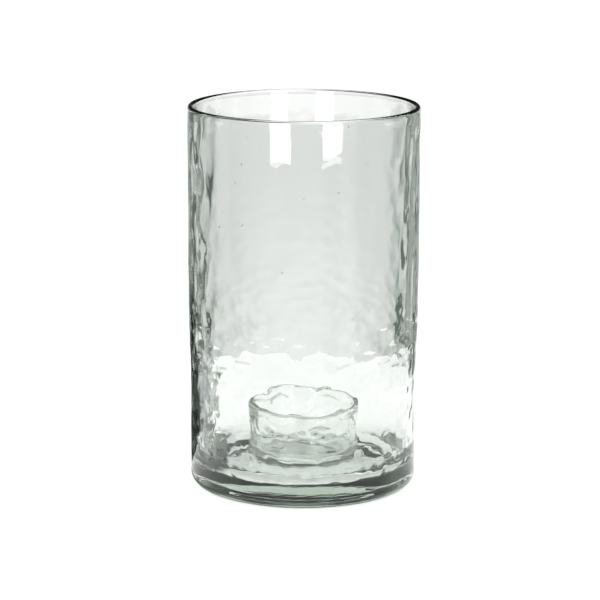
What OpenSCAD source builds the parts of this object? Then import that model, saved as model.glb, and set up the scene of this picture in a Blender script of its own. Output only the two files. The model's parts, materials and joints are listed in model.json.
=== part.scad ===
// Hurricane candle lantern: a mouth-blown glass cylinder with a thick solid base, and a small
// loose glass cup that stands on its floor and holds the candle.
// Millimetres, +Z up, origin at the centre of the underside.

/* [Hurricane glass] */
// Outside diameter at the rim
rim_d = 150; // [120:1:200]
// Overall height
glass_h = 250; // [180:1:320]
// How much narrower the outside diameter is at the foot than at the rim
foot_taper = 2; // [0:0.5:4]
// Wall thickness at the rim
rim_wall = 3.5; // [2.5:0.1:4.5]
// Wall thickness just above the curve of the floor
foot_wall = 5.5; // [4.5:0.1:7]

/* [Base] */
// Thickness of the solid glass under the floor
base_t = 12.5; // [8:0.5:18]
// Radius of the rounded heel around the underside
heel_r = 6; // [3:0.5:7.5]
// Radius of the inside curve from the floor up into the wall
floor_curve_r = 17; // [8:1:22]
// Depth of the hollow pressed into the underside, so that the base stands on a ring
punt_h = 1.2; // [0.5:0.1:2]
// Width of that standing ring
ring_w = 15; // [8:1:20]

/* [Candle cup] */
// Outside diameter
cup_d = 73; // [66:1:80]
// Height
cup_h = 41; // [30:1:45]
// Diameter of the straight hole that takes the candle
candle_bore_d = 67; // [60:1:72]
// Thickness of the cup's bottom
cup_floor_t = 6; // [3:0.5:7]
// Radius of the rounded outside corner at the bottom
cup_heel_r = 7; // [3:0.5:8]
// Radius of the curve from the cup's floor into its wall
cup_curve_r = 5; // [2:0.5:7]
// Depth of the hollow under the cup, so that it stands on a ring
cup_punt_h = 0.8; // [0.4:0.1:1.5]
// Width of the cup's standing ring
cup_ring_w = 7; // [4:0.5:10]

/* [Hidden] */
$fn = 180;

glass_colour = [0.84, 0.89, 0.87, 0.45];
rim_r = rim_d / 2;
foot_r = rim_r - foot_taper / 2;
rim_round_r = rim_wall / 2;
floor_wall_r = foot_r - foot_wall;
chamber_r = rim_r - rim_wall;
cup_r = cup_d / 2;
cup_wall = (cup_d - candle_bore_d) / 2;
// Run of the sloping edge of a hollow in an underside, and how far cutters pass a surface
punt_slope = 8;
over = 1;

// Half section of the hollow pressed into an underside: a shallow dish with a sloping edge.
module punt_section(radius, depth)
    polygon([
        [0, -over],
        [radius, -over],
        [radius, 0],
        [radius - punt_slope, depth],
        [0, depth]
    ]);

// Half section of a round-heeled, flat-footed body whose side runs from low_r to high_r at height h.
module heeled_section(low_r, high_r, corner_r, h) {
    polygon([
        [0, 0],
        [low_r - corner_r, 0],
        [low_r - corner_r, corner_r],
        [low_r, corner_r],
        [high_r, h],
        [0, h]
    ]);
    translate([low_r - corner_r, corner_r]) circle(r = corner_r);
}

// Half section of a hollow that is flat below, curved up into its wall, and open at height h.
module hollow_section(floor_z, low_r, high_r, curve_r, h) {
    polygon([
        [0, floor_z],
        [low_r - curve_r, floor_z],
        [low_r - curve_r, floor_z + curve_r],
        [low_r, floor_z + curve_r],
        [high_r, h],
        [high_r, h + over],
        [0, h + over]
    ]);
    translate([low_r - curve_r, floor_z + curve_r]) circle(r = curve_r);
}

// The blown glass itself: wall, fire-polished rim and thick base are one piece of glass.
module hurricane_glass()
    color(glass_colour)
        rotate_extrude() {
            difference() {
                heeled_section(foot_r, rim_r, heel_r, glass_h - rim_round_r);
                hollow_section(base_t, floor_wall_r, chamber_r, floor_curve_r, glass_h - rim_round_r);
                punt_section(foot_r - heel_r - ring_w, punt_h);
            }
            translate([rim_r - rim_round_r, glass_h - rim_round_r]) circle(r = rim_round_r);
        }

// The loose cup: a short tumbler with a rounded bottom corner and a straight hole for the candle.
module candle_cup()
    color(glass_colour)
        translate([0, 0, base_t])
            rotate_extrude() {
                difference() {
                    heeled_section(cup_r, cup_r, cup_heel_r, cup_h - cup_wall / 2);
                    hollow_section(cup_floor_t, candle_bore_d / 2, candle_bore_d / 2, cup_curve_r,
                                   cup_h - cup_wall / 2);
                    punt_section(cup_r - cup_heel_r - cup_ring_w, cup_punt_h);
                }
                translate([cup_r - cup_wall / 2, cup_h - cup_wall / 2]) circle(r = cup_wall / 2);
            }

hurricane_glass();
candle_cup();
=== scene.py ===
import json
import math
import random

import bmesh
import bpy
import numpy as np
from mathutils import Matrix, Vector, noise


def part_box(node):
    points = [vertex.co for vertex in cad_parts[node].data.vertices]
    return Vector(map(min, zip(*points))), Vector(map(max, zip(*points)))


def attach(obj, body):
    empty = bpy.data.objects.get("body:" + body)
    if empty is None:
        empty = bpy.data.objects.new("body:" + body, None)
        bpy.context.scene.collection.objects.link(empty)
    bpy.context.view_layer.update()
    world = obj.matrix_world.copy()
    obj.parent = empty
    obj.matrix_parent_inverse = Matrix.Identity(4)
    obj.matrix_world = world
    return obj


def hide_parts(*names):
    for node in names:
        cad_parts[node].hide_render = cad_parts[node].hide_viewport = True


# The hurricane candle lantern: two pieces of clear blown glass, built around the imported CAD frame.
# Shapes are worked out in millimetres and turned about Z, and become metres in the meshes.
# In the studio, azimuth 0 looks along +Y, away from the camera, and +X is to the right.

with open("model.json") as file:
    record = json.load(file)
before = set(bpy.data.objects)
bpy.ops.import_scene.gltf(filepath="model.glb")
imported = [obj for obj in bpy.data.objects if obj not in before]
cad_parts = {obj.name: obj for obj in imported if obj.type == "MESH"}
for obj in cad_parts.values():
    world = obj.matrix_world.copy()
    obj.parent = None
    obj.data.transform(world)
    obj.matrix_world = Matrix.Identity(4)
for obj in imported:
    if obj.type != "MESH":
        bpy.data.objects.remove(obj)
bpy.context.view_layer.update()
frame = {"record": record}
MM = 0.001

glass_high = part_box("hurricane_glass")[1] / MM
cup_low, cup_high = (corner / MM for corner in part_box("candle_cup"))
socket = next(m for m in frame["record"]["mounts"] if m["name"] == "candle_socket")

# Hurricane glass
RIM_R = glass_high.x
GLASS_H = glass_high.z
RIM_WALL = 3.5
FOOT_TAPER = 1.0
FOOT_R = RIM_R - FOOT_TAPER
FOOT_WALL = 5.6
FOOT_WAIST = 0.3
THICKENS_Z = (30.0, 140.0)
HEEL_R = 6.0
CONTACT_GAP = 0.1
FLOOR_Z = cup_low.z - CONTACT_GAP
CURVE_R = 17.0
RING_R = FOOT_R - HEEL_R
RING_W = 15.0
PUNT_H = 1.2
PUNT_SLOPE = 8.0
BUBBLES = 44
DIMPLES = 40
GLASS_SEGMENTS = 288
WALL_STEP = 2.0

# Candle cup
CUP_R = cup_high.x - 0.2
CUP_FOOT_Z = cup_low.z + CONTACT_GAP
CUP_TOP_Z = cup_high.z - 1.0
CUP_BORE_R = socket["dims"]["r_mm"]
CUP_HEEL_R = 8.0
CUP_FLOOR_T = 6.5
CUP_CURVE_R = 6.0
CUP_PUNT_H = 0.8
CUP_RING_W = 7.0
CUP_PUNT_SLOPE = 5.0
CUP_WAIST = 1.3
CUP_BORE_WAIST = 0.5
CUP_LIP = 0.5
CUP_SEGMENTS = 192
CUP_STEP = 1.2

# What blowing leaves in the surfaces: depth, size across, size up and seed of each soft noise
RIPPLE = ((0.10, 6, 4.5, 0), (0.12, 13, 8, 3))
LUMP = ((0.16, 30, 24, 9),)
LAPS = ((0.19, 12, 3.4, 5),)
STREAKS = ((0.36, 8, 22, 13),)
SWELL = ((0.25, 60, 40, 4.4),)
SAG = ((0.48, 8, 8, 50), (0.36, 4, 4, 61))
CUP_RIPPLE = ((0.15, 7, 5, 0), (0.30, 15, 12, 3))
CUP_SWIRL = ((0.30, 4.5, 3.2, 7),)
CUP_NICKS = ((0.30, 3.2, 1, 5.5),)

# The cup's rim: depth, count round the rim and start of each wave, then the dip at its front
CUP_RIM_WAVES = ((0.35, 4, 1.1), (0.3, 7, 2.0), (0.18, 13, 4.1))
CUP_RIM_DIP, CUP_DIP_BEARING, CUP_DIP_WIDTH = 1.7, 0.15, 0.42

# Heights between which those effects come or go, where the sides begin as a share of the rim's radius,
# and where on the floor its sag begins
TAPER_Z = (70, 135)
CALM_MIDDLE_Z = (190, 222)
LIVELY_FOOT_Z = (70, 165)
QUIET_BASE_Z = (12, 34)
LAPS_COME_Z, LAPS_GO_Z = (70, 90), (108, 140)
STREAKS_COME_Z = (60, 100)
DIMPLE_Z = (120, 225)
BUBBLE_Z = (20, 235)
SIDE_SHARE = (0.72, 0.96)
FLOOR_RING_R = (36, 50)

# Rings that the wooden block leaves, and seed bubbles
DIMPLE_DEPTH, DIMPLE_LINE = 0.06, 1.3
DIMPLE_R = (3.5, 6)
BUBBLE_R = (0.2, 0.42)
BUBBLE_STRETCH = (1.0, 1.8)

# Glass colours
GLASS_PALE, GLASS_DEEP = (0.955, 0.965, 0.957, 1), (0.91, 0.925, 0.913, 1)
CUP_PALE, CUP_DEEP = (0.985, 0.99, 0.985, 1), (0.95, 0.96, 0.952, 1)
DEPTH_COLOUR = (0.725, 0.772, 0.730, 1)
GLASS_DENSITY = 22.0
CUP_DENSITY = 14.0
PEEL_DEPTH = 0.05

# Camera
CAMERA_DISTANCE = 1594.0
CAMERA_ELEVATION = math.radians(12.75)
CAMERA_LENS = 145.9
CAMERA_AIM = Vector((-2.2, 0.0, GLASS_H / 2 - 4.2))
CAMERA_ROLL = math.radians(0.2)

# Table: a disc, cut back behind on the left along a slanting line, and shaded under the left edge
TABLE_R = 310.0
TABLE_DROP = 0.02
CUT_FROM, CUT_TO = math.radians(105), math.radians(160)
CUT_X = 57.0
CUT_SLANT = 0.15
CUT_NEAREST = 84.0
SHADE_X = (-52.0, -58.0)
SHADE_R = (85.0, 77.0)
SHADE_COLOUR = (0.14, 0.145, 0.14, 1)

# Tall lights beside the camera: bearings of the edges, distance, bottom and top
SOFTBOXES = {"softbox_left": (-32.8, -12.8), "softbox_right": (17.7, 36.9)}
SOFTBOX_DISTANCE, SOFTBOX_LOW, SOFTBOX_HIGH = 1000.0, 66.0, 900.0
SOFTBOX_GLOW = 6.0

# Backdrops that the glass sees: brightness by degrees from the middle of one, mirrored to the next
GAP_HALF = 22.5
GAP_MARKS = ((0.0, 1.0), (4.5, 0.93), (8.0, 0.67), (12.0, 0.08), (20.5, 0.02), (22.5, 0.15))
PLAIN_LEVEL = 0.45
BACKDROP_LEVEL = 0.93
EVEN_LEVEL = 1.5
CAMERA_LEVEL = 1.05
DARK_TINT, BRIGHT_TINT = (0.80, 1.0, 0.82, 1), (1.0, 1.0, 1.0, 1)

# Black flags behind on the left: the degrees where each begins, is full, is last full, and ends
FLAG_AZIMUTH, FLAG_ELEVATION = (-50, -46, -15.5, -10.5), (-19.6, -18.2, -14.6, -11)
SKIRT_AZIMUTH, SKIRT_TOP = (-25, -20, -3, 1), (-21.5, -19.5)
FLAG_DEPTH = 0.97


# ---------------------------------------------------------------- outlines


def smooth(low, high, x):
    """0 below low, 1 above high, and a smooth step between."""
    t = np.clip((np.asarray(x, float) - low) / (high - low), 0, 1)
    return t * t * (3 - 2 * t)


def bell(x, middle, width):
    """1 at the middle, fading to nothing on both sides."""
    return np.exp(-(((x - middle) / width) ** 2))


def line(start, end, step):
    """Points from start up to, but not including, end."""
    start, end = np.array(start, float), np.array(end, float)
    count = max(1, round(np.linalg.norm(end - start) / step))
    return start + (end - start) * (np.arange(count) / count)[:, None]


def arc(centre, radius, first_deg, last_deg, step):
    """Points round an arc, without its last point."""
    turn = math.radians(last_deg - first_deg)
    count = max(2, round(abs(turn) * radius / step))
    angle = math.radians(first_deg) + turn * np.arange(count) / count
    return np.array(centre) + radius * np.stack([np.cos(angle), np.sin(angle)], 1)


def wall_points(radius, z_values):
    """Points up or down a wall whose radius is a function of height."""
    return np.stack([radius(z_values), z_values], 1)


def outer_radius(z):
    """The blown wall's outside: straight above, drawn in a little towards the foot."""
    return RIM_R - FOOT_TAPER * (1 - smooth(*TAPER_Z, z)) - FOOT_WAIST * bell(z, 58, 20)


def inner_radius(z):
    """The inside: a thin wall that thickens towards the foot."""
    full, none = THICKENS_Z
    thicker = np.clip((none - z) / (none - full), 0, 1) ** 1.6
    return outer_radius(z) - RIM_WALL - (FOOT_WALL - RIM_WALL) * thicker


def hurricane_outline():
    """Half section of the glass, from the middle of its underside round to the middle of its floor."""
    rim_round = RIM_WALL / 2
    rim_z = GLASS_H - rim_round
    curve_z = FLOOR_Z + CURVE_R
    rows_up, rows_down = (round((rim_z - z) / WALL_STEP) for z in (HEEL_R, curve_z))
    up = np.linspace(HEEL_R, rim_z, rows_up, endpoint=False)
    down = np.linspace(rim_z, curve_z, rows_down, endpoint=False)
    floor_r = inner_radius(curve_z) - CURVE_R
    punt_r = RING_R - RING_W
    return np.concatenate([
        line((0, PUNT_H), (punt_r - PUNT_SLOPE, PUNT_H), 3.5),
        line((punt_r - PUNT_SLOPE, PUNT_H), (punt_r, 0), 2.0),
        line((punt_r, 0), (RING_R, 0), 2.0),
        arc((FOOT_R - HEEL_R, HEEL_R), HEEL_R, -90, 0, 1.0),
        wall_points(outer_radius, up),
        arc((RIM_R - rim_round, rim_z), rim_round, 0, 180, 0.45),
        wall_points(inner_radius, down),
        arc((floor_r, curve_z), CURVE_R, 0, -90, 1.1),
        line((floor_r, FLOOR_Z), (0, FLOOR_Z), 1.7),
        [(0, FLOOR_Z)],
    ])


def cup_waist(z):
    """1 at the narrowest part of the cup, fading to nothing at its foot and rim."""
    return bell((z - CUP_FOOT_Z) / (CUP_TOP_Z - CUP_FOOT_Z), 0.56, 0.24)


def cup_outer_radius(z):
    """The cup's outside: full at the foot and rim, waisted between."""
    return CUP_R - CUP_WAIST * cup_waist(z)


def cup_inner_radius(z):
    """The cup's inside: nearly straight, with a thicker lip."""
    lip = CUP_LIP * smooth(CUP_TOP_Z - 7, CUP_TOP_Z - 3, z)
    return CUP_BORE_R - CUP_BORE_WAIST * cup_waist(z) - lip


def cup_outline():
    """Half section of the cup, from the middle of its underside round to the middle of its floor."""
    lip = (cup_outer_radius(CUP_TOP_Z) - cup_inner_radius(CUP_TOP_Z)) / 2
    lip_z = CUP_TOP_Z - lip
    foot_z, floor_z = CUP_FOOT_Z, CUP_FOOT_Z + CUP_FLOOR_T
    up = np.arange(foot_z + CUP_HEEL_R, lip_z, CUP_STEP)
    down = np.arange(lip_z, floor_z + CUP_CURVE_R, -CUP_STEP)
    ring_r = CUP_R - CUP_HEEL_R
    punt_r = ring_r - CUP_RING_W
    dish_r, dish_z = punt_r - CUP_PUNT_SLOPE, foot_z + CUP_PUNT_H
    floor_r = CUP_BORE_R - CUP_CURVE_R
    return np.concatenate([
        line((0, dish_z), (dish_r, dish_z), 2.0),
        line((dish_r, dish_z), (punt_r, foot_z), 1.5),
        line((punt_r, foot_z), (ring_r, foot_z), 1.5),
        arc((ring_r, foot_z + CUP_HEEL_R), CUP_HEEL_R, -90, 0, 0.9),
        wall_points(cup_outer_radius, up),
        arc((cup_outer_radius(lip_z) - lip, lip_z), lip, 0, 180, 0.4),
        wall_points(cup_inner_radius, down),
        arc((floor_r, floor_z + CUP_CURVE_R), CUP_CURVE_R, 0, -90, 0.9),
        line((floor_r, floor_z), (0, floor_z), 1.5),
        [(0, floor_z)],
    ])


# ---------------------------------------------------------------- surfaces


def field(points, across, up, seed):
    """Soft noise of about -1 to 1 at the points, with features of these sizes in mm."""
    scaled = points / (across, across, up) + seed
    return np.array([noise.noise(Vector(p)) for p in scaled])


def blown(points, noises, seed=0.0):
    """The sum of some soft noises, in mm."""
    return sum(depth * field(points, across, up, seed + own) for depth, across, up, own in noises)


def dimples(points):
    """Faint rings that the blower's wooden block leaves on the outside, as depths in mm."""
    depth = np.zeros(len(points))
    chance = random.Random(11)
    for _ in range(DIMPLES):
        bearing, height = chance.uniform(0, 2 * math.pi), chance.uniform(*DIMPLE_Z)
        centre = (RIM_R * math.cos(bearing), RIM_R * math.sin(bearing), height)
        reach = np.linalg.norm(points - centre, axis=1)
        depth += DIMPLE_DEPTH * bell(reach, chance.uniform(*DIMPLE_R), DIMPLE_LINE)
    return depth


def ripple_strength(z, side, inside):
    """Calm in the upper middle, and strong down the sides and at the foot."""
    strength = np.where(inside, 0.36 - 0.22 * smooth(*CALM_MIDDLE_Z, z), 0.14)
    strength += 0.30 * side + 0.46 * (1 - smooth(*LIVELY_FOOT_Z, z))
    return strength * (0.35 + 0.65 * smooth(*QUIET_BASE_Z, z))


def hurricane_relief(points, inside):
    """How far each point stands proud of the turned surface, in mm, as hand blowing leaves it."""
    z = points[:, 2]
    seed = np.where(inside, 31.7, 7.3)[:, None]
    side = smooth(*SIDE_SHARE, np.abs(points[:, 0]) / RIM_R)
    strength = ripple_strength(z, side, inside)
    laps = blown(points, LAPS, seed) * smooth(*LAPS_COME_Z, z) * (1 - smooth(*LAPS_GO_Z, z))
    streaks = blown(points, STREAKS, seed) * side * smooth(*STREAKS_COME_Z, z)
    lump = blown(points, LUMP, seed) * (0.12 + 0.88 * strength)
    swell = blown(points, SWELL) * np.where(inside, -1, 1)
    wall = blown(points, RIPPLE, seed) * strength + laps + streaks
    wall += (lump + swell) * smooth(HEEL_R, HEEL_R + 12, z)
    wall *= smooth(2, HEEL_R + 3, z)
    calm_rim = 1 - smooth(GLASS_H - 14, GLASS_H - 4, z)
    round_floor = smooth(*FLOOR_RING_R, np.hypot(points[:, 0], points[:, 1]))
    floor = inside * (1 - smooth(FLOOR_Z + 8, FLOOR_Z + 30, z)) * round_floor
    return (wall - dimples(points) * ~inside) * calm_rim + floor * blown(points, SAG)


def cup_relief(points, inside):
    """The cup's ripple, with a band of swirls two thirds of the way up."""
    z = points[:, 2]
    seed = np.where(inside, 12.9, 88.1)[:, None]
    swirl = blown(points, CUP_SWIRL, seed) * bell(z, CUP_FOOT_Z + 27, 6)
    on_side = smooth(CUP_FOOT_Z + 1, CUP_FOOT_Z + 8, z)
    return (blown(points, CUP_RIPPLE, seed) + swirl) * on_side


def cup_rim_wave(points):
    """How far the hand-cut rim rises or dips on each bearing, in mm, with its dip at the front."""
    angle = np.arctan2(points[:, 0], -points[:, 1])
    wave = sum(depth * np.sin(count * angle + start) for depth, count, start in CUP_RIM_WAVES)
    level = np.stack([points[:, 0], points[:, 1], 0 * angle], 1)
    dip = CUP_RIM_DIP * bell(angle, CUP_DIP_BEARING, CUP_DIP_WIDTH)
    return wave + blown(level, CUP_NICKS) - dip


# ---------------------------------------------------------------- meshes


def outline_normals(outline):
    along = np.gradient(outline, axis=0)
    normal = np.stack([along[:, 1], -along[:, 0]], 1)
    return normal / np.linalg.norm(normal, axis=1)[:, None]


def spun(half_section, segments):
    """Each point of a half section, (radius, height), carried round Z in equal steps."""
    angle = np.arange(segments) * 2 * math.pi / segments
    spoke = np.stack([np.cos(angle), np.sin(angle), 0 * angle], 1)
    up = np.array((0.0, 0.0, 1.0))
    return (half_section[:, 0, None, None] * spoke + half_section[:, 1, None, None] * up).reshape(-1, 3)


def shell_faces(rings, segments):
    """Quads between the rings, and fans to the two points on the axis, which come last."""
    here = np.arange(segments)
    there = (here + 1) % segments
    first, last = rings * segments, rings * segments + 1
    faces = [(first, b, a) for a, b in zip(here, there)]
    for ring in range(rings - 1):
        low, high = ring * segments, (ring + 1) * segments
        faces += [(low + a, low + b, high + b, high + a) for a, b in zip(here, there)]
    top = (rings - 1) * segments
    faces += [(top + a, top + b, last) for a, b in zip(here, there)]
    return faces


def turned(outline, segments, relief):
    """Points and faces of a closed shell turned about Z, with relief along its normal.
    The outline's points after its highest one are on the inside."""
    rings = outline[1:-1]
    ring_inside = np.arange(1, len(outline) - 1) >= int(np.argmax(outline[:, 1]))
    points = spun(rings, segments)
    inside = np.repeat(ring_inside, segments)
    points = points + spun(outline_normals(outline)[1:-1], segments) * relief(points, inside)[:, None]
    points = np.vstack([points, [0, 0, outline[0, 1]], [0, 0, outline[-1, 1]]])
    return points, shell_faces(len(rings), segments)


def bubble_shell():
    """A small ball whose faces look inwards, as a hollow's do."""
    ball = bmesh.new()
    bmesh.ops.create_icosphere(ball, subdivisions=2, radius=1.0)
    shell = np.array([corner.co for corner in ball.verts])
    faces = [tuple(corner.index for corner in reversed(face.verts)) for face in ball.faces]
    ball.free()
    return shell, faces


def add_bubbles(points, faces):
    """Seed bubbles: tiny hollows in the middle of the wall."""
    shell, shell_in = bubble_shell()
    chance = random.Random(5)
    for _ in range(BUBBLES):
        bearing, height = chance.uniform(0, 2 * math.pi), chance.uniform(*BUBBLE_Z)
        middle = (outer_radius(height) + inner_radius(height)) / 2
        centre = np.array((middle * math.cos(bearing), middle * math.sin(bearing), height))
        size = np.array((1.0, 1.0, chance.uniform(*BUBBLE_STRETCH))) * chance.uniform(*BUBBLE_R)
        start = len(points)
        points = np.vstack([points, centre + shell * size])
        faces += [tuple(start + corner for corner in face) for face in shell_in]
    return points, faces


def mesh_object(name, points, faces):
    mesh = bpy.data.meshes.new(name)
    mesh.from_pydata((np.asarray(points) * MM).tolist(), [], [tuple(map(int, f)) for f in faces])
    mesh.polygons.foreach_set("use_smooth", [True] * len(mesh.polygons))
    mesh.update()
    made = bpy.data.objects.new(name, mesh)
    bpy.context.scene.collection.objects.link(made)
    return made


def hurricane_glass():
    points, faces = turned(hurricane_outline(), GLASS_SEGMENTS, hurricane_relief)
    points[:, 2] = np.clip(points[:, 2], 0, GLASS_H)
    points, faces = add_bubbles(points, faces)
    return mesh_object("blown_hurricane_glass", points, faces)


def candle_cup():
    points, faces = turned(cup_outline(), CUP_SEGMENTS, cup_relief)
    share = smooth(CUP_FOOT_Z + 10, CUP_TOP_Z, points[:, 2])
    points[:, 2] += share * cup_rim_wave(points)
    points[:, 2] = np.minimum(points[:, 2], cup_high.z)
    return mesh_object("blown_candle_cup", points, faces)


# ---------------------------------------------------------------- nodes


def add(tree, kind, settings=(), inputs=()):
    """A node of this kind, with its settings and its input values."""
    node = tree.nodes.new(kind)
    for key, value in dict(settings).items():
        setattr(node, key, value)
    for key, value in dict(inputs).items():
        node.inputs[key].default_value = value
    return node


def feed(tree, operand, into):
    """Give an input its operand, which is a number or another node's output."""
    if isinstance(operand, (int, float)):
        into.default_value = operand
    else:
        tree.links.new(operand, into)


def maths(tree, operation, *operands):
    """One Math node. Each operand is a number or another node's output."""
    node = add(tree, "ShaderNodeMath", {"operation": operation})
    for into, operand in zip(node.inputs, operands):
        feed(tree, operand, into)
    return node.outputs["Value"]


def blend(tree, factor, first, second):
    """first where the factor is 0, and second where it is 1."""
    node = add(tree, "ShaderNodeMix", {"data_type": "FLOAT", "clamp_factor": True})
    for key, operand in (("Factor", factor), ("A", first), ("B", second)):
        feed(tree, operand, node.inputs[key])
    return node.outputs["Result"]


def colours(tree, factor, first, second):
    """The same, between two colours."""
    node = add(tree, "ShaderNodeMix", {"data_type": "RGBA"}, {"A": first, "B": second})
    tree.links.new(factor, node.inputs["Factor"])
    return node


def ramp(tree, value, low, high, start, end):
    """value from low to high becomes start to end, smoothly."""
    node = add(tree, "ShaderNodeMapRange", {"interpolation_type": "SMOOTHSTEP"},
               {"From Min": low, "From Max": high, "To Min": start, "To Max": end})
    tree.links.new(value, node.inputs["Value"])
    return node.outputs["Result"]


def turn_ramp(tree, angle, low_deg, high_deg, start, end):
    return ramp(tree, angle, math.radians(low_deg), math.radians(high_deg), start, end)


def band(tree, angle, degrees):
    """1 between the middle two of four angles, and 0 outside the outer two."""
    begins, full, last_full, ends = degrees
    return maths(tree, "MULTIPLY",
                 turn_ramp(tree, angle, begins, full, 0.0, 1.0),
                 turn_ramp(tree, angle, last_full, ends, 1.0, 0.0))


def position(tree):
    """A node with the X, Y and Z of the place being shaded, in metres."""
    place = add(tree, "ShaderNodeSeparateXYZ")
    tree.links.new(add(tree, "ShaderNodeTexCoord").outputs["Object"], place.inputs["Vector"])
    return place


# ---------------------------------------------------------------- materials


def node_material(name):
    """A new material, with its node tree, its Principled shader and its output."""
    made = bpy.data.materials.new(name)
    made.use_nodes = True
    nodes = made.node_tree.nodes
    return made, made.node_tree, nodes["Principled BSDF"], nodes["Material Output"]


def tint_streaks(tree, pale, deep):
    """Faint upright streaks between two tints."""
    place = add(tree, "ShaderNodeTexCoord")
    stretch = add(tree, "ShaderNodeMapping", inputs={"Scale": (1.0, 1.0, 0.45)})
    tree.links.new(place.outputs["Object"], stretch.inputs["Vector"])
    streaks = add(tree, "ShaderNodeTexNoise", inputs={"Scale": 38.0, "Detail": 3.0, "Roughness": 0.5})
    tree.links.new(stretch.outputs["Vector"], streaks.inputs["Vector"])
    return colours(tree, streaks.outputs["Fac"], pale, deep).outputs["Result"]


def orange_peel(tree, full_below, calm_above):
    """A fine unevenness of the polish, which fades with height."""
    place = add(tree, "ShaderNodeTexCoord")
    grain = add(tree, "ShaderNodeTexNoise", inputs={"Scale": 230.0, "Detail": 1.0, "Roughness": 0.4})
    tree.links.new(place.outputs["Object"], grain.inputs["Vector"])
    fade = ramp(tree, position(tree).outputs["Z"], full_below * MM, calm_above * MM, 1.0, 0.1)
    bump = add(tree, "ShaderNodeBump", inputs={"Strength": 1.0, "Distance": PEEL_DEPTH * MM})
    tree.links.new(maths(tree, "MULTIPLY", grain.outputs["Fac"], fade), bump.inputs["Height"])
    return bump.outputs["Normal"]


def glass_material(name, pale, deep, density, full_below, calm_above):
    """Clear blown glass, with a little colour where it is deep."""
    material, tree, shader, output = node_material(name)
    tree.links.new(tint_streaks(tree, pale, deep), shader.inputs["Base Color"])
    tree.links.new(orange_peel(tree, full_below, calm_above), shader.inputs["Normal"])
    shader.inputs["Transmission Weight"].default_value = 1.0
    shader.inputs["IOR"].default_value = 1.5
    shader.inputs["Roughness"].default_value = 0.0
    depth = add(tree, "ShaderNodeVolumeAbsorption", inputs={"Color": DEPTH_COLOUR, "Density": density})
    tree.links.new(depth.outputs["Volume"], output.inputs["Volume"])
    return material


def contact_shade(tree):
    """1 where the glass sees its own shade on the table, by the left edge of its foot."""
    place = position(tree)
    x, y = place.outputs["X"], place.outputs["Y"]
    reach = maths(tree, "SQRT", maths(tree, "ADD", maths(tree, "POWER", x, 2.0),
                                      maths(tree, "POWER", y, 2.0)))
    near_foot = ramp(tree, reach, SHADE_R[0] * MM, SHADE_R[1] * MM, 0.0, 1.0)
    on_left = ramp(tree, x, SHADE_X[0] * MM, SHADE_X[1] * MM, 0.0, 1.0)
    seen_by_camera = add(tree, "ShaderNodeLightPath").outputs["Is Camera Ray"]
    through_glass = maths(tree, "SUBTRACT", 1.0, seen_by_camera)
    return maths(tree, "MULTIPLY", maths(tree, "MULTIPLY", on_left, near_foot), through_glass)


def table_material():
    """Matt pale paper, with the slightest mottle."""
    material, tree, shader, _ = node_material("pale_floor")
    mottle = add(tree, "ShaderNodeTexNoise", inputs={"Scale": 20.0, "Detail": 4.0})
    paper = colours(tree, mottle.outputs["Fac"], (0.80, 0.80, 0.80, 1), (0.82, 0.82, 0.82, 1))
    shaded = colours(tree, contact_shade(tree), SHADE_COLOUR, SHADE_COLOUR)
    tree.links.new(paper.outputs["Result"], shaded.inputs["A"])
    tree.links.new(shaded.outputs["Result"], shader.inputs["Base Color"])
    shader.inputs["Roughness"].default_value = 1.0
    shader.inputs["Specular IOR Level"].default_value = 0.0
    return material


def glow_material():
    material = bpy.data.materials.new("softbox_glow")
    material.use_nodes = True
    tree = material.node_tree
    tree.nodes.clear()
    glow = add(tree, "ShaderNodeEmission", inputs={"Strength": SOFTBOX_GLOW})
    output = add(tree, "ShaderNodeOutputMaterial")
    tree.links.new(glow.outputs["Emission"], output.inputs["Surface"])
    material.cycles.emission_sampling = "NONE"
    return material


# ---------------------------------------------------------------- studio


def directions(tree):
    """The azimuth and the elevation that a ray leaves in."""
    towards = add(tree, "ShaderNodeSeparateXYZ")
    tree.links.new(add(tree, "ShaderNodeTexCoord").outputs["Generated"], towards.inputs["Vector"])
    azimuth = maths(tree, "ARCTAN2", towards.outputs["X"], towards.outputs["Y"])
    return azimuth, maths(tree, "ARCSINE", towards.outputs["Z"])


def gap_pattern(tree, aside):
    """Bright backdrops with dark gaps between, by the angle from the middle of the nearest one."""
    pattern = add(tree, "ShaderNodeValToRGB")
    pattern.color_ramp.interpolation = "EASE"
    for index, (degrees, bright) in enumerate(GAP_MARKS):
        if index > 1:
            pattern.color_ramp.elements.new(degrees / GAP_HALF)
        mark = pattern.color_ramp.elements[index]
        mark.position = degrees / GAP_HALF
        mark.color = (bright, bright, bright, 1)
    tree.links.new(maths(tree, "DIVIDE", aside, math.radians(GAP_HALF)), pattern.inputs["Fac"])
    return pattern.outputs["Color"]


def plain_parts(tree, azimuth, ray):
    """Where there are no gaps: near the camera, and for light that has bounced about in the glass."""
    near_left = turn_ramp(tree, azimuth, -116, -112, 1.0, 0.0)
    from_right = maths(tree, "ABSOLUTE", maths(tree, "SUBTRACT", azimuth, math.radians(67)))
    near_right = turn_ramp(tree, from_right, 42, 46, 1.0, 0.0)
    behind_camera = turn_ramp(tree, azimuth, 157, 160, 0.0, 1.0)
    sides = maths(tree, "ADD", maths(tree, "ADD", near_left, near_right), behind_camera)
    reflected = maths(tree, "GREATER_THAN", ray.outputs["Glossy Depth"], 0.5)
    refracted = maths(tree, "GREATER_THAN", ray.outputs["Transmission Depth"], 2.5)
    return maths(tree, "ADD", sides, maths(tree, "MULTIPLY", reflected, refracted))


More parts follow.
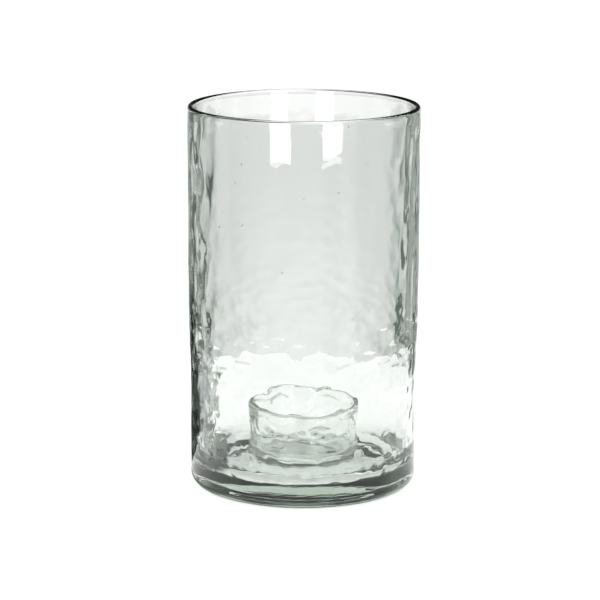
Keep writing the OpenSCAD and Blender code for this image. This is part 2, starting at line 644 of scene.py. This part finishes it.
def backdrop_level(tree, aside, elevation):
    """How bright the backdrops are: more at the top and bottom, and in the middle of each."""
    bright_top = turn_ramp(tree, elevation, -8.6, -8.3, 0.0, 0.18)
    table_glow = turn_ramp(tree, elevation, -18.0, -19.6, 0.0, 0.17)
    middle = maths(tree, "MULTIPLY",
                   turn_ramp(tree, aside, 1.0, 5.0, 0.14, 0.02),
                   turn_ramp(tree, elevation, -9.2, -13.6, 0.0, 1.0))
    ends = maths(tree, "ADD", bright_top, table_glow)
    return maths(tree, "ADD", maths(tree, "ADD", BACKDROP_LEVEL, ends), middle)


def unflagged(tree, azimuth, elevation):
    """1, and almost 0 where the black flags stand."""
    flag = maths(tree, "MULTIPLY",
                 band(tree, azimuth, FLAG_AZIMUTH),
                 band(tree, elevation, FLAG_ELEVATION))
    below = turn_ramp(tree, elevation, *SKIRT_TOP, 1.0, 0.0)
    skirt = maths(tree, "MULTIPLY", band(tree, azimuth, SKIRT_AZIMUTH), below)
    return maths(tree, "MULTIPLY_ADD", maths(tree, "MAXIMUM", flag, skirt), -FLAG_DEPTH, 1.0)


def seen_through_glass(tree, azimuth, elevation, ray):
    """The studio that refracted light comes from."""
    aside = maths(tree, "PINGPONG", azimuth, math.radians(GAP_HALF))
    gaps = blend(tree, plain_parts(tree, azimuth, ray), gap_pattern(tree, aside), PLAIN_LEVEL)
    overhead = turn_ramp(tree, elevation, 3.5, 9, 1.0, 0.06)
    lit = maths(tree, "MULTIPLY", gaps, overhead)
    lit = maths(tree, "MULTIPLY", lit, unflagged(tree, azimuth, elevation))
    return maths(tree, "MULTIPLY", lit, backdrop_level(tree, aside, elevation))


def studio_world():
    """The camera sees plain white, and the table is lit evenly. Light that comes through the glass
    sees the backdrops and their gaps, and light mirrored off it sees a dimmer studio."""
    world = bpy.data.worlds.new("studio")
    bpy.context.scene.world = world
    world.use_nodes = True
    tree = world.node_tree
    tree.nodes.clear()
    azimuth, elevation = directions(tree)
    ray = add(tree, "ShaderNodeLightPath")
    mirrored = maths(tree, "MULTIPLY", turn_ramp(tree, elevation, -3, 6, 0.5, 0.05),
                     unflagged(tree, azimuth, elevation))
    level = blend(tree, ray.outputs["Is Glossy Ray"], EVEN_LEVEL, mirrored)
    level = blend(tree, ray.outputs["Is Transmission Ray"], level,
                  seen_through_glass(tree, azimuth, elevation, ray))
    level = blend(tree, ray.outputs["Diffuse Depth"], level, EVEN_LEVEL)
    level = blend(tree, ray.outputs["Is Camera Ray"], level, CAMERA_LEVEL)
    tint = colours(tree, ramp(tree, level, 0.0, 0.9, 0.0, 1.0), DARK_TINT, BRIGHT_TINT)
    background = add(tree, "ShaderNodeBackground")
    tree.links.new(tint.outputs["Result"], background.inputs["Color"])
    tree.links.new(level, background.inputs["Strength"])
    output = add(tree, "ShaderNodeOutputWorld")
    tree.links.new(background.outputs["Background"], output.inputs["Surface"])


def studio_table():
    """A round pale table top under the glass, cut back behind on the left."""
    angle = np.linspace(0, 2 * math.pi, 180, endpoint=False)
    from_back = np.clip(angle - math.pi / 2, math.radians(15), math.radians(70))
    edge = CUT_X / (np.sin(from_back) - CUT_SLANT * np.cos(from_back))
    cut = (angle > CUT_FROM) & (angle < CUT_TO)
    reach = np.where(cut, np.clip(edge, CUT_NEAREST, TABLE_R), TABLE_R)
    corners = np.stack([np.cos(angle) * reach, np.sin(angle) * reach, 0 * angle], 1)
    table = mesh_object("pale_floor", corners, [tuple(range(len(corners)))])
    table.location.z = -TABLE_DROP * MM
    table.data.materials.append(table_material())


def softbox(name, left_deg, right_deg, glow):
    """A tall light beside the camera, from one bearing to another as the glass sees it."""
    corners = []
    for bearing, height in ((left_deg, SOFTBOX_LOW), (right_deg, SOFTBOX_LOW),
                            (right_deg, SOFTBOX_HIGH), (left_deg, SOFTBOX_HIGH)):
        turn = math.radians(bearing)
        corners.append((math.sin(turn) * SOFTBOX_DISTANCE, -math.cos(turn) * SOFTBOX_DISTANCE, height))
    panel = mesh_object(name, np.array(corners), [(0, 1, 2, 3)])
    panel.data.materials.append(glow)
    panel.visible_camera = False
    panel.visible_diffuse = False
    panel.visible_shadow = False


def studio_camera():
    data = bpy.data.cameras.new("camera")
    data.lens = CAMERA_LENS
    data.sensor_width = 36.0
    camera = bpy.data.objects.new("camera", data)
    bpy.context.scene.collection.objects.link(camera)
    back = Vector((0, -math.cos(CAMERA_ELEVATION), math.sin(CAMERA_ELEVATION)))
    camera.location = (CAMERA_AIM + back * CAMERA_DISTANCE) * MM
    turn = (-back).to_track_quat("-Z", "Y").to_matrix() @ Matrix.Rotation(CAMERA_ROLL, 3, "Z")
    camera.rotation_euler = turn.to_euler()
    bpy.context.scene.camera = camera


def studio():
    scene = bpy.context.scene
    scene.view_settings.view_transform = "Standard"
    scene.cycles.max_bounces = 40
    scene.cycles.transmission_bounces = 36
    scene.cycles.glossy_bounces = 24
    scene.cycles.blur_glossy = 0.0
    studio_world()
    studio_table()
    glow = glow_material()
    for name, (left_deg, right_deg) in SOFTBOXES.items():
        softbox(name, left_deg, right_deg, glow)
    studio_camera()


# ---------------------------------------------------------------- making

hurricane = hurricane_glass()
hurricane.data.materials.append(
    glass_material("blown_glass", GLASS_PALE, GLASS_DEEP, GLASS_DENSITY, 80, 170))
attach(hurricane, "hurricane_glass")
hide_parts("hurricane_glass")

cup = candle_cup()
cup.data.materials.append(glass_material("cup_glass", CUP_PALE, CUP_DEEP, CUP_DENSITY, 60, 90))
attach(cup, "candle_cup")
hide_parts("candle_cup")

studio()
